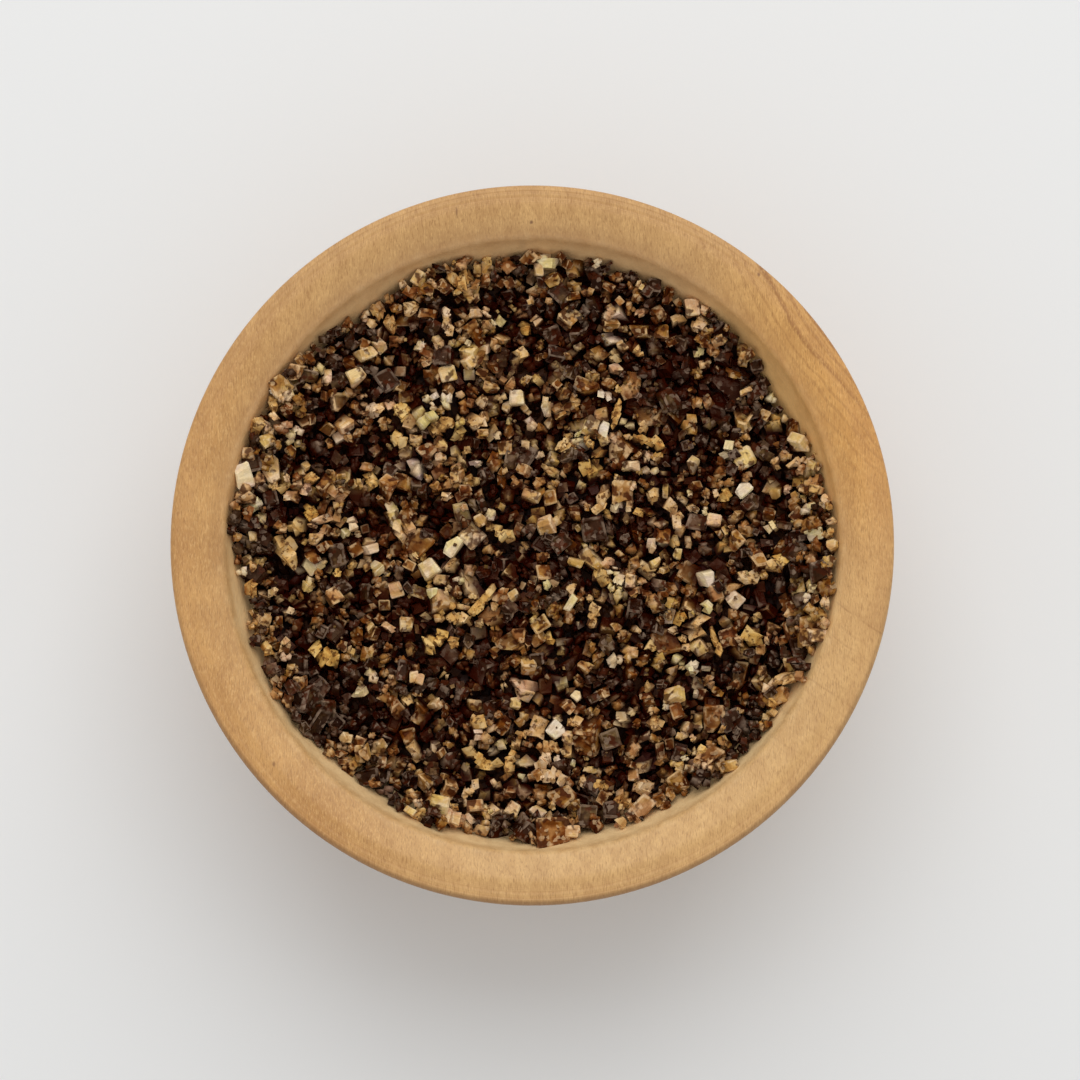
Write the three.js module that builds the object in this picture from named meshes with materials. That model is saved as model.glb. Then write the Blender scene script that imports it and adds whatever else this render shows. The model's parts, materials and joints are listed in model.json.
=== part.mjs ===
// A small turned wooden pinch bowl, filled almost to its rim with coarse mushroom salt.
//
// Millimetres, +Z up. The origin is the centre of the bowl's foot, on the surface it stands on.
// There are two separate pieces: the bowl, turned from one block of pale hardwood, and the heap of
// salt crystals and dried mushroom that lies in it.

import * as THREE from 'three';

// ---- Driving dimensions: the bowl ----

const bowlRadius = 37.5;
const bowlHeight = 30;
const footRadius = 20;
const footChamfer = 0.8;
const wallLean = THREE.MathUtils.degToRad(8.5); // of the outer wall, just under the rim

const rimEdgeRound = 0.6; // outer edge of the rim
const crownRadius = 35; // where the flat top of the rim turns down into the bevel
const crownRound = 3; // softness of that turn
const bevelSlope = THREE.MathUtils.degToRad(22);
const mouthRadius = 32; // sharp lower edge of the bevel
const hollowRadius = 33.7; // the hollow is part of a ball

// ---- Driving dimensions: the salt ----

const saltGap = 0.3; // between the heap and the wood
const saltMidDepth = 5.1; // of the heap's middle, under the rim's top
const saltEdgeDepth = 4.5; // of its edge, on average
const saltEdgeTilt = 0.9; // the heap lies lower at the front than at the back
const shoulders = [
  // where the salt is banked up against the wall: angle and half width in degrees
  { at: -8, width: 24, rise: 2.6 },
  { at: 160, width: 27, rise: 2.5 },
];
const edgeRipples = [
  // uneven edge: waves round the bowl, height, turn in degrees
  { waves: 7, height: 0.42, turn: 150 },
  { waves: 11, height: 0.38, turn: 40 },
  { waves: 16, height: 0.26, turn: 200 },
];
const hummocks = [
  // uneven top: length of one wave, height, direction and shift in degrees
  { length: 17, height: 0.2, direction: 25, shift: 40 },
  { length: 12, height: 0.17, direction: 100, shift: 200 },
  { length: 9, height: 0.14, direction: 155, shift: 95 },
  { length: 7.5, height: 0.12, direction: 60, shift: 310 },
];

// ---- How finely the round shapes are divided ----

const turns = 72; // flats round the bowl and the heap
const wallSteps = 9;
const rimSteps = 4;
const crownSteps = 3;
const hollowSteps = 12;
const heapTopRings = 12;
const heapUnderRings = 7;

// ---- Worked-out places ----

const bevelDrop = (crownRadius - mouthRadius) * Math.tan(bevelSlope);
const mouthHeight = bowlHeight - bevelDrop;
const hollowCentre = mouthHeight + Math.sqrt(hollowRadius ** 2 - mouthRadius ** 2);

// Points on an arc of a profile. Angles are measured down from the horizontal, away from the axis.
function arc(centreR, centreZ, radius, from, to, steps) {
  const points = [];
  for (let i = 0; i <= steps; i++) {
    const angle = from + ((to - from) * i) / steps;
    points.push(
      new THREE.Vector2(centreR + radius * Math.cos(angle), centreZ - radius * Math.sin(angle)),
    );
  }
  return points;
}

// The outer wall is one arc from the foot's chamfer up to the rim's rounded edge, where it leans by
// wallLean. Its radius follows from its two ends and that lean.
function outerWall() {
  const foot = new THREE.Vector2(footRadius, footChamfer);
  const outward = new THREE.Vector2(Math.cos(wallLean), -Math.sin(wallLean));
  const rimCentre = new THREE.Vector2(bowlRadius - rimEdgeRound, bowlHeight - rimEdgeRound);
  const top = rimCentre.clone().addScaledVector(outward, rimEdgeRound);
  const chord = foot.clone().sub(top);
  const radius = -chord.lengthSq() / (2 * chord.dot(outward));
  const centre = top.clone().addScaledVector(outward, -radius);
  const footAngle = Math.atan2(centre.y - foot.y, foot.x - centre.x);
  return arc(centre.x, centre.y, radius, footAngle, wallLean, wallSteps);
}

// Half section of the bowl, from the middle of the foot, up the outside, over the rim and down the
// inside to the middle of the hollow's floor.
function bowlProfile() {
  const rimR = bowlRadius - rimEdgeRound;
  const rimZ = bowlHeight - rimEdgeRound;
  const crownTangent = crownRound * Math.tan(bevelSlope / 2);
  const crownR = crownRadius + crownTangent;
  const mouthAngle = Math.acos(mouthRadius / hollowRadius);
  const up = -Math.PI / 2;
  return [
    new THREE.Vector2(0, 0),
    new THREE.Vector2(footRadius - footChamfer, 0),
    ...outerWall(),
    ...arc(rimR, rimZ, rimEdgeRound, 0, up, rimSteps),
    ...arc(crownR, bowlHeight - crownRound, crownRound, up, up - bevelSlope, crownSteps),
    ...arc(0, hollowCentre, hollowRadius, mouthAngle, Math.PI / 2, hollowSteps).slice(0, -1),
    new THREE.Vector2(0, hollowCentre - hollowRadius),
  ];
}

function makeBowl() {
  const geometry = new THREE.LatheGeometry(bowlProfile(), turns);
  geometry.rotateX(Math.PI / 2); // the lathe turns about Y, the bowl stands on Z
  const material = new THREE.MeshStandardMaterial({
    color: '#c79a64',
    roughness: 0.6,
    metalness: 0,
  });
  const bowl = new THREE.Mesh(geometry, material);
  bowl.name = 'bowl';
  return bowl;
}

// How far the heap's edge lies under the rim's top, at an angle round the bowl in radians.
function edgeDepth(angle) {
  const degrees = THREE.MathUtils.radToDeg(angle);
  let depth = saltEdgeDepth - saltEdgeTilt * Math.sin(angle);
  for (const { at, width, rise } of shoulders) {
    const away = THREE.MathUtils.euclideanModulo(degrees - at + 180, 360) - 180;
    depth -= rise * Math.exp(-((away / width) ** 2));
  }
  for (const { waves, height, turn } of edgeRipples) {
    depth += height * Math.cos(waves * angle + THREE.MathUtils.degToRad(turn));
  }
  return depth;
}

// Height of the heap's top at a share (0 in the middle, 1 at the edge) of the way out.
function saltTop(angle, share, edgeRadius) {
  const depth = THREE.MathUtils.lerp(saltMidDepth, edgeDepth(angle), share ** 3);
  const x = share * edgeRadius * Math.cos(angle);
  const y = share * edgeRadius * Math.sin(angle);
  let height = bowlHeight - depth;
  for (const wave of hummocks) {
    const direction = THREE.MathUtils.degToRad(wave.direction);
    const along = x * Math.cos(direction) + y * Math.sin(direction);
    const phase = (2 * Math.PI * along) / wave.length + THREE.MathUtils.degToRad(wave.shift);
    height += wave.height * (1 - share ** 4) * Math.cos(phase);
  }
  return height;
}

// The heap as rings of points: up the ball-shaped underside from its lowest point, then over the
// uneven top to its middle.
function saltRings() {
  const ballRadius = hollowRadius - saltGap;
  const rings = [];
  for (let ring = 1; ring < heapUnderRings + heapTopRings; ring++) {
    const points = [];
    for (let turn = 0; turn < turns; turn++) {
      const angle = (2 * Math.PI * turn) / turns;
      const edgeZ = bowlHeight - edgeDepth(angle);
      const edgeAngle = Math.acos((hollowCentre - edgeZ) / ballRadius);
      const edgeRadius = ballRadius * Math.sin(edgeAngle);
      let radius;
      let z;
      if (ring <= heapUnderRings) {
        const climb = (edgeAngle * ring) / heapUnderRings;
        radius = ballRadius * Math.sin(climb);
        z = hollowCentre - ballRadius * Math.cos(climb);
      } else {
        const share = 1 - (ring - heapUnderRings) / heapTopRings;
        radius = share * edgeRadius;
        z = saltTop(angle, share, edgeRadius);
      }
      points.push([radius * Math.cos(angle), radius * Math.sin(angle), z]);
    }
    rings.push(points);
  }
  return rings;
}

// Joins the rings into a closed skin, with one point at the bottom and one in the middle of the top.
function makeSalt() {
  const rings = saltRings();
  const positions = rings.flat(2);
  const bottom = positions.length / 3;
  positions.push(0, 0, hollowCentre - hollowRadius + saltGap);
  const middle = bottom + 1;
  positions.push(0, 0, saltTop(0, 0, 0));

  const faces = [];
  const lastRing = (rings.length - 1) * turns;
  for (let turn = 0; turn < turns; turn++) {
    const next = (turn + 1) % turns;
    faces.push(bottom, next, turn);
    faces.push(middle, lastRing + turn, lastRing + next);
    for (let ring = 0; ring < lastRing; ring += turns) {
      faces.push(ring + turn, ring + next, ring + turns + next);
      faces.push(ring + turn, ring + turns + next, ring + turns + turn);
    }
  }

  const geometry = new THREE.BufferGeometry();
  geometry.setAttribute('position', new THREE.Float32BufferAttribute(positions, 3));
  geometry.setIndex(faces);
  geometry.computeVertexNormals();
  const material = new THREE.MeshStandardMaterial({
    color: '#5f452e',
    roughness: 0.7,
    metalness: 0,
  });
  const salt = new THREE.Mesh(geometry, material);
  salt.name = 'salt';
  return salt;
}

const group = new THREE.Group();
group.add(makeBowl(), makeSalt());

export default group;
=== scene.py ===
# A small turned wooden pinch bowl, filled almost to its rim with coarse mushroom salt.
#
# Metres, +Z up, the centre of the bowl's foot at the origin. The sections follow the object as it is
# put together: the bowl, the bed of salt in it, the loose crystals and mushroom bits on top, and last
# the floor, the light and the camera.

import json
import random
from math import acos, asin, atan, atan2, cos, exp, floor, hypot, pi, radians, sin, sqrt, tan

import bmesh
import bpy
import numpy as np
from mathutils import Euler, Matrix, Vector, bvhtree, noise

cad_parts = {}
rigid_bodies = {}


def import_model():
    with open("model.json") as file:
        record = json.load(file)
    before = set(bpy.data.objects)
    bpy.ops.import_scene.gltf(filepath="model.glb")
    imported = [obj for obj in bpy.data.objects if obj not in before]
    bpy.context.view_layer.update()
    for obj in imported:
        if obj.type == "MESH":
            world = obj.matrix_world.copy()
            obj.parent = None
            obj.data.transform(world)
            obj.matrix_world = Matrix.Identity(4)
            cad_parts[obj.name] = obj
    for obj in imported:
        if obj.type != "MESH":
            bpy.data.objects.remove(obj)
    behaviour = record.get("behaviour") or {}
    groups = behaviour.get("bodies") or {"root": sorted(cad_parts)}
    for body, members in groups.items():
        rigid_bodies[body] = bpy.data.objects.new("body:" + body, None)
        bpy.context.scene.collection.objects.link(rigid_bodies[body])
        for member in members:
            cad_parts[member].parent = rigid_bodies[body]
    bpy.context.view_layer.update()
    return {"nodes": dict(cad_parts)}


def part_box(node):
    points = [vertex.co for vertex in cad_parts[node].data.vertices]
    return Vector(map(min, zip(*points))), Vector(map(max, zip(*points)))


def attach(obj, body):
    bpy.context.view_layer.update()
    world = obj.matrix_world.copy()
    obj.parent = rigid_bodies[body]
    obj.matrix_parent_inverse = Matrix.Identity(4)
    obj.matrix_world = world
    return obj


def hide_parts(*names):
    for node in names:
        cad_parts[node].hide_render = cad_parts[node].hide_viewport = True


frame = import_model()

MM = 0.001


# ---- The bowl ----
# A pinch bowl turned on a lathe from one block of pale, fine-grained hardwood, with a soft bevel
# inside its rim. It was sanded smooth and rubbed with a little oil.

rim_radius, _, bowl_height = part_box("bowl")[1]
foot_radius = 20 * MM
foot_round = 0.8 * MM
wall_lean = radians(8.5)
rim_edge_round = 0.6 * MM
crown_radius = 35 * MM
crown_round = 3 * MM
bevel_slope = radians(22)
bevel_top_slope = radians(15)
mouth_radius = 32 * MM
mouth_round = 1.1 * MM
hollow_radius = 33.7 * MM
mouth_height = bowl_height - (crown_radius - mouth_radius) * tan(bevel_slope)
hollow_centre = mouth_height + sqrt(hollow_radius**2 - mouth_radius**2)
bowl_turns = 288

# the crown doesn't run quite true: it lies further out on one side than on the other
crown_wander = 0.3 * MM
crown_wander_towards = radians(110)
crown_wander_reach = 2 * MM


def arc(centre_r, centre_z, radius, start, end, steps):
    """Points (r, z) on an arc of a profile, its angles measured down from the horizontal."""
    angles = np.linspace(start, end, steps + 1)
    return [(centre_r + radius * cos(a), centre_z - radius * sin(a)) for a in angles]


def outer_wall():
    """The arc from the foot up to the rim's rounded edge, which it meets at wall_lean."""
    foot = Vector((foot_radius, foot_round))
    outward = Vector((cos(wall_lean), -sin(wall_lean)))
    edge = Vector((rim_radius - rim_edge_round, bowl_height - rim_edge_round))
    top = edge + outward * rim_edge_round
    chord = foot - top
    radius = -chord.length_squared / (2 * chord.dot(outward))
    centre = top - outward * radius
    foot_angle = atan2(centre.y - foot.y, foot.x - centre.x)
    return arc(centre.x, centre.y, radius, foot_angle, wall_lean, steps=40)


def bowl_profile():
    """Half section, from the middle of the foot, up the outside, over the rim and down inside.

    The bevel is slightly rounded: it gets steeper all the way down to the mouth."""
    up = -pi / 2
    crown_r = crown_radius + crown_round * tan(bevel_slope / 2)
    mouth_angle = acos(mouth_radius / hollow_radius)
    edge_r = rim_radius - rim_edge_round
    edge_z = bowl_height - rim_edge_round
    foot = [(r, 0.0) for r in np.linspace(0, foot_radius - foot_round, 14)]
    edge = arc(edge_r, edge_z, rim_edge_round, wall_lean, up, steps=10)
    flat = [(r, bowl_height) for r in np.linspace(edge_r, crown_r, 6)[1:-1]]
    crown = arc(crown_r, bowl_height - crown_round, crown_round, up, up - bevel_top_slope, steps=6)

    # the bevel, its slope growing evenly on the way down to the mouth
    top_r, top_z = crown[-1]
    run = top_r - mouth_radius
    top_fall = tan(bevel_top_slope)
    mouth_fall = 2 * (top_z - mouth_height) / run - top_fall
    mouth_slope = atan(mouth_fall)
    turn = pi / 2 - mouth_angle - mouth_slope
    cut_back = mouth_round * tan(turn / 2)
    bevel_end = 1 - cut_back * cos(mouth_slope) / run
    bevel = [
        (top_r - run * t, top_z - run * (top_fall * t + (mouth_fall - top_fall) * t * t / 2))
        for t in np.linspace(0, bevel_end, 11)[1:-1]
    ]

    # the soft edge of the mouth, rounded into the ball-shaped hollow
    mouth_r = mouth_radius + cut_back * cos(mouth_slope) + mouth_round * sin(mouth_slope)
    mouth_z = mouth_height + cut_back * sin(mouth_slope) - mouth_round * cos(mouth_slope)
    mouth = arc(mouth_r, mouth_z, mouth_round, up - mouth_slope, mouth_angle - pi, steps=9)
    hollow_start = mouth_angle + cut_back / hollow_radius
    hollow = arc(0, hollow_centre, hollow_radius, hollow_start, pi / 2, steps=44)[1:]
    return foot + outer_wall() + edge + flat + crown + bevel + mouth + hollow


def ring_mesh(name, points, turns, clockwise=False):
    """A closed skin over rings of points, with one point at each end."""
    faces = []
    last = len(points) - 1 - turns
    for turn in range(turns):
        a, b = turn, (turn + 1) % turns
        if clockwise:
            a, b = b, a
        faces.append((0, 1 + b, 1 + a))
        for low in range(1, last, turns):
            faces.append((low + a, low + b, low + turns + b, low + turns + a))
        faces.append((last + a, last + b, len(points) - 1))
    mesh = bpy.data.meshes.new(name)
    mesh.from_pydata(points, [], faces)
    return mesh


def turned_mesh(name, profile, turns):
    """A closed turned shape. The profile starts and ends on the axis."""
    points = [(0.0, 0.0, profile[0][1])]
    for r, z in profile[1:-1]:
        for turn in range(turns):
            angle = 2 * pi * turn / turns
            wander = crown_wander * cos(angle - crown_wander_towards)
            near_crown = max(0.0, 1 - abs(r - crown_radius) / crown_wander_reach)
            ring_r = r + wander * near_crown * (z > bowl_height - crown_wander_reach)
            points.append((ring_r * cos(angle), ring_r * sin(angle), z))
    points.append((0.0, 0.0, profile[-1][1]))
    mesh = ring_mesh(name, points, turns)
    mesh.shade_smooth()
    return mesh


def put(tree, kind, feeds=None, **settings):
    """Adds a node. Feeds give its inputs by name or number, as values or as other nodes' outputs."""
    made = tree.nodes.new(kind)
    for setting, value in settings.items():
        setattr(made, setting, value)
    for name, feed in (feeds or {}).items():
        if isinstance(feed, bpy.types.NodeSocket):
            tree.links.new(feed, made.inputs[name])
        else:
            made.inputs[name].default_value = feed
    return made


def maths(operation, first, *others):
    """A sum on numbers, of which the first is another node's output."""
    feeds = dict(enumerate((first, *others)))
    return put(first.id_data, "ShaderNodeMath", feeds, operation=operation).outputs[0]


def times(first, second):
    return maths("MULTIPLY", first, second)


def plus(first, second):
    return maths("ADD", first, second)


def fade(value, start, end, low=0.0, high=1.0):
    """Takes a value from start..end to low..high, clamped, with soft ends."""
    feeds = {"Value": value, "From Min": start, "From Max": end, "To Min": low, "To Max": high}
    made = put(value.id_data, "ShaderNodeMapRange", feeds, interpolation_type="SMOOTHSTEP")
    return made.outputs["Result"]


def blend(share, first, second, blend_type="MIX"):
    """Mixes a share of the second colour into the first.

    Colours are outputs or red, green and blue, and either the share or the first is an output."""
    tree = (share if isinstance(share, bpy.types.NodeSocket) else first).id_data
    feeds = {0: share, 6: first, 7: second}
    for socket in (6, 7):
        if isinstance(feeds[socket], tuple):
            feeds[socket] = (*feeds[socket], 1)
    return put(tree, "ShaderNodeMix", feeds, data_type="RGBA", blend_type=blend_type).outputs[2]


def cloud(place, size, detail=2.0, roughness=0.5, unit=MM):
    """Noise whose patches measure about size, or three sizes along X, Y and Z, in mm."""
    sizes = size if isinstance(size, tuple) else (size, size, size)
    feeds = {"Vector": place, "Scale": [1 / (s * unit) for s in sizes]}
    scaled = put(place.id_data, "ShaderNodeMapping", feeds).outputs[0]
    feeds = {"Vector": scaled, "Scale": 1.0, "Detail": detail, "Roughness": roughness}
    return put(place.id_data, "ShaderNodeTexNoise", feeds).outputs["Fac"]


def lines(distance, step):
    """Noise that changes along a distance only: fine lines, about a step apart."""
    feeds = {"W": times(distance, 1 / step), "Scale": 1.0, "Detail": 1.0}
    return put(distance.id_data, "ShaderNodeTexNoise", feeds, noise_dimensions="1D").outputs["Fac"]


def distance_from(flat_place, x, y, width=1.0, length=1.0):
    """Distance from an upright axis at x, y, counted in widths along X and in lengths along Y."""
    tree = flat_place.id_data
    feeds = {"Location": (-x / width, -y / length, 0), "Scale": (1 / width, 1 / length, 0)}
    moved = put(tree, "ShaderNodeMapping", {"Vector": flat_place, **feeds}).outputs[0]
    return put(tree, "ShaderNodeVectorMath", {0: moved}, operation="LENGTH").outputs["Value"]


def past_mouth(distance, start, end, low, high):
    """A fade over the bevel and wall: start and end are in mm, out from the mouth's edge."""
    return fade(distance, mouth_radius + start * MM, mouth_radius + end * MM, low, high)


def bump(shader, height, depth, strength):
    feeds = {"Height": height, "Distance": depth, "Strength": strength}
    bumped = put(shader.id_data, "ShaderNodeBump", feeds).outputs[0]
    shader.id_data.links.new(bumped, shader.inputs["Normal"])


def new_finish(name, roughness, specular=0.5):
    material = bpy.data.materials.new(name)
    material.use_nodes = True
    shader = material.node_tree.nodes["Principled BSDF"]
    shader.inputs["Roughness"].default_value = roughness
    shader.inputs["Specular IOR Level"].default_value = specular
    return material, material.node_tree, shader


# the wood's own colours
plain_wood = (0.505, 0.248, 0.072)
light_wood = (0.625, 0.330, 0.105)
golden_wood = (0.74, 0.40, 0.135)
front_wood = (0.73, 0.50, 0.225)
back_wood = (0.62, 0.445, 0.22)
ring_brown = (0.33, 0.152, 0.050)
dark_ring_brown = (0.25, 0.098, 0.024)
fleck_brown = (0.30, 0.136, 0.040)
fibre_gold = (0.80, 0.49, 0.190)
figure_brown = (0.38, 0.180, 0.055)
mark_brown = (0.13, 0.045, 0.018)
end_grain_brown = (0.36, 0.18, 0.07)
heartwood_tint = (1.06, 0.99, 0.80)

# the colours that use has left on it, and painted shade and light on the bevel, the wall and the outer
# edge
handled_brown = (0.42, 0.175, 0.056)
mouth_shade_brown = (0.33, 0.150, 0.050)
front_edge_shade_brown = (0.20, 0.09, 0.032)
salt_dust_and_light = (0.86, 0.62, 0.325)
back_wall_wood = (0.90, 0.50, 0.225)

# the tree's middle lies off the back right, and its heartwood shows on the rim nearest to it
ring_centre = (84.4 * MM, 59.6 * MM)
heartwood_middle = (29 * MM, 16 * MM)
ring_step = 0.42 * MM
ring_wobble = 1.3 * MM
lathe_step = 0.3 * MM

# single darker growth rings: radius, half width (mm), strength at the front and at the back
dark_rings = [
    (68.6, 0.45, 0.15, 0.6),
    (66.6, 0.22, 0.18, 0.42),
    (65.3, 0.18, 0.18, 0.36),
    (84.9, 0.16, 0.35, 0.15),
    (88.0, 0.14, 0.3, 0.1),
    (93.0, 0.16, 0.35, 0.1),
]

# small dark marks on the rim: x, y, half length along Y, half width (mm), strength
rim_marks = [
    (-7.9, 34.6, 0.85, 0.16, 0.6),
    (-0.1, 33.6, 0.28, 0.22, 0.85),
    (-1.0, 31.6, 0.45, 0.55, 0.45),
    (2.0, 31.1, 0.22, 0.30, 0.8),
    (-26.6, -23.0, 0.4, 0.25, 0.6),
    (23.6, 28.0, 0.3, 0.25, 0.7),
]


def wood_finish():
    """Pale hardwood: fibres along Y, fine flecks, growth rings, the traces of use, and painted shade and
    light near the mouth and at the outer edge.
    """
    material, tree, shader = new_finish("oiled hardwood", roughness=0.42, specular=0.42)
    coordinates = put(tree, "ShaderNodeTexCoord").outputs
    place = coordinates["Object"]
    x, y, z = put(tree, "ShaderNodeSeparateXYZ", {"Vector": place}).outputs
    facing = put(tree, "ShaderNodeSeparateXYZ", {"Vector": coordinates["Normal"]}).outputs
    upward = fade(facing["Z"], -0.08, 0.12)
    flat_place = put(tree, "ShaderNodeMapping", {"Vector": place, "Scale": (1, 1, 0)}).outputs[0]
    out = distance_from(flat_place, 0, 0)

    # soft clouds, more golden towards the right
    clouds = cloud(place, (3.5, 6, 3.5), 3)
    tone = blend(fade(clouds, 0.3, 0.7), plain_wood, light_wood)
    tone = blend(fade(x, -8 * MM, 34 * MM, 0, 0.22), tone, golden_wood)

    # paler at the front right and at the back, where more end grain is cut
    across = plus(times(x, -0.5), times(y, 0.866))
    tone = blend(fade(across, -31 * MM, -12 * MM, 0.38, 0), tone, front_wood)
    tone = blend(fade(y, 10 * MM, 31 * MM, 0.04, 0.26), tone, back_wood)

    # growth rings: fine lines, clearest at the back right, and single darker ones
    distance = distance_from(flat_place, *ring_centre)
    wobble = cloud(place, (6, 6, 12))
    wavy = plus(distance, times(wobble, ring_wobble))
    clearness = fade(distance, 63 * MM, 75 * MM, 0.62, 0.12)
    ring_share = times(fade(lines(wavy, ring_step), 0.50, 0.68), clearness)
    tone = blend(ring_share, tone, ring_brown)
    unbroken = fade(y, 5 * MM, 18 * MM, 0.25, 0.85)
    broken = fade(cloud(place, 2.4), 0.38, 0.56, unbroken, 1.15)
    for radius, half_width, front_strength, back_strength in dark_rings:
        off_line = maths("ABSOLUTE", maths("SUBTRACT", wavy, radius * MM))
        line = fade(off_line, 0.2 * (half_width * MM), half_width * MM, 1, 0)
        strength = fade(y, 10 * MM, 26 * MM, front_strength, back_strength)
        tone = blend(times(times(line, strength), broken), tone, dark_ring_brown)

    # short fibre flecks, pale fibres, a broader figure, and the small dark marks
    fleck = cloud(place, (0.13, 0.9, 0.3), 2, 0.65)
    tone = blend(fade(fleck, 0.48, 0.68, 0, 0.52), tone, fleck_brown)
    fibre = cloud(place, (0.14, 0.6, 0.3), 2, 0.65)
    tone = blend(fade(fibre, 0.48, 0.68, 0, 0.48), tone, fibre_gold)
    figure = cloud(place, (1.2, 3.2, 1.2), 2, 0.6)
    tone = blend(fade(figure, 0.36, 0.62, 0.24, 0), tone, figure_brown)
    for mark_x, mark_y, half_length, half_width, strength in rim_marks:
        in_metres = (mark_x * MM, mark_y * MM, half_width * MM, half_length * MM)
        off_mark = distance_from(flat_place, *in_metres)
        ragged = plus(off_mark, fleck)
        mark = times(fade(ragged, 0.7, 1.5, strength, 0), upward)
        tone = blend(mark, tone, mark_brown)

    # end grain at the front and back of the wall is darker
    end_share = fade(maths("ABSOLUTE", facing["Y"]), 0.45, 1.0, 0, 0.28)
    tone = blend(end_share, tone, end_grain_brown)

    # faint lines left by the lathe on the top of the rim, darker than the bevel from handling
    lathe = lines(out, lathe_step)
    rim_top = fade(out, crown_radius, crown_radius + 0.9 * MM)
    lathe_share = times(rim_top, fade(lathe, 0.45, 0.75, 0.07, 0.18))
    tone = blend(lathe_share, tone, handled_brown)

    # painted shade: the bevel is darkened towards the mouth, most at the back, where it slopes away from
    # the window light
    stain = times(past_mouth(out, -0.5, 2.2, 1, 0),
                  fade(y, -16 * MM, 20 * MM, 0.10, 0.52))
    stain = times(stain, past_mouth(out, -0.8, 0.3, 0.05, 1))
    tone = blend(times(stain, upward), tone, mouth_shade_brown)

    # painted shade: the outer edge is darkened at the front, where its rounding and the outer wall face
    # away from the window light
    outermost = fade(out, rim_radius - 0.75 * MM, rim_radius - 0.25 * MM)
    front_edge_shade = times(outermost, fade(y, -26 * MM, 2 * MM, 0.5, 0.0))
    front_edge_shade = times(front_edge_shade, fade(z, bowl_height - 4 * MM, bowl_height - MM))
    tone = blend(front_edge_shade, tone, front_edge_shade_brown)

    # salt dust rubbed into the wall and over the mouth's edge, with painted light: it is palest at the
    # front, where the wall faces the window light
    drift = times(cloud(place, 1.6, 3), 1.8 * MM)
    dust_place = plus(out, drift)
    dust_and_light = plus(past_mouth(dust_place, -0.5, 1.7, 0.95, 0),
                past_mouth(dust_place, 1.2, 4.2, 0.14, 0))
    dust_and_light = maths("MAXIMUM", dust_and_light, past_mouth(out, -0.6, 0.1, 1, 0))
    dust_and_painted_light = times(times(dust_and_light, fade(y, -26 * MM, 16 * MM, 0.75, 0.54)),
                  times(upward, fade(figure, 0.35, 0.65, 0.72, 1.0)))
    tone = blend(dust_and_painted_light, tone, salt_dust_and_light)

    # at the back the wall under the mouth is made lighter and redder
    back_wall_share = times(past_mouth(out, -0.5, 1.0, 1, 0),
                   fade(y, -4 * MM, 16 * MM, 0, 0.22))
    tone = blend(times(back_wall_share, upward), tone, back_wall_wood)

    # redder heartwood at the right, towards the back
    heart_distance = distance_from(flat_place, *heartwood_middle)
    heart_share = fade(heart_distance, 6 * MM, 20 * MM, 0.9, 0)
    tone = blend(heart_share, tone, heartwood_tint, "MULTIPLY")

    tree.links.new(tone, shader.inputs["Base Color"])
    height = plus(times(fleck, -1.0), times(fibre, 0.6))
    height = maths("SUBTRACT", height, times(lathe, rim_top))
    bump(shader, height, depth=0.06 * MM, strength=0.8)
    return material


def new_piece(name, mesh, material):
    piece = bpy.data.objects.new(name, mesh)
    bpy.context.scene.collection.objects.link(piece)
    mesh.materials.clear()
    mesh.materials.append(material)
    return piece


bowl = new_piece("turned_bowl", turned_mesh("turned_bowl", bowl_profile(), bowl_turns), wood_finish())
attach(bowl, "root")
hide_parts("bowl")


# ---- The bed of salt ----
# The salt under the top layers: crystals packed together, seen only in the gaps, and coloured near-black
# as painted shade. It is one relief, under the uneven surface that the heap has, and it lies against the
# wood.

heap_node = frame["nodes"]["salt"]
heap_skin = bvhtree.BVHTree.FromPolygons(
    [v.co for v in heap_node.data.vertices], [tuple(p.vertices) for p in heap_node.data.polygons]
)
heap_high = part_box("salt")[1].z
grid_step = 0.25 * MM
grid_half = int(33 * MM / grid_step)
bed_sink = 2.0 * MM
bed_gap = 0.12 * MM
bed_floor = 1.2 * MM
bed_edge = 31 * MM
block_reach = 0.9 * MM
block_count = 5200
shade_dark = (0.014, 0.0025, 0.0006)
shade_light = (0.052, 0.0155, 0.004)


def wall_radius(z):
    """Inner radius of the wooden wall at a height."""
    return sqrt(max(hollow_radius**2 - (hollow_centre - z) ** 2, 0.0))


def heap_heights():
    """Heights of the heap's surface on a square grid. Outside the heap they carry on level."""
    size = 2 * grid_half + 1
    heights = np.zeros((size, size))
    for row in range(size):
        for column in range(size):
            x = (column - grid_half) * grid_step
            y = (row - grid_half) * grid_step
            r = hypot(x, y)
            for share in (1.0, 0.985, 0.97, 0.95, 0.93, 0.91, 0.89, 0.86):
                pull = share * min(1.0, mouth_radius / max(r, 1e-6))
                hit = heap_skin.ray_cast(Vector((x * pull, y * pull, 1.0)), Vector((0, 0, -1)))[0]
                if hit:
                    break
            heights[row, column] = hit.z if hit else heap_high - 3 * MM
    return heights


surface = heap_heights()


def surface_at(x, y, heights=surface):
    column = min(max(round(x / grid_step) + grid_half, 0), 2 * grid_half)
    row = min(max(round(y / grid_step) + grid_half, 0), 2 * grid_half)
    return heights[row, column]


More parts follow.
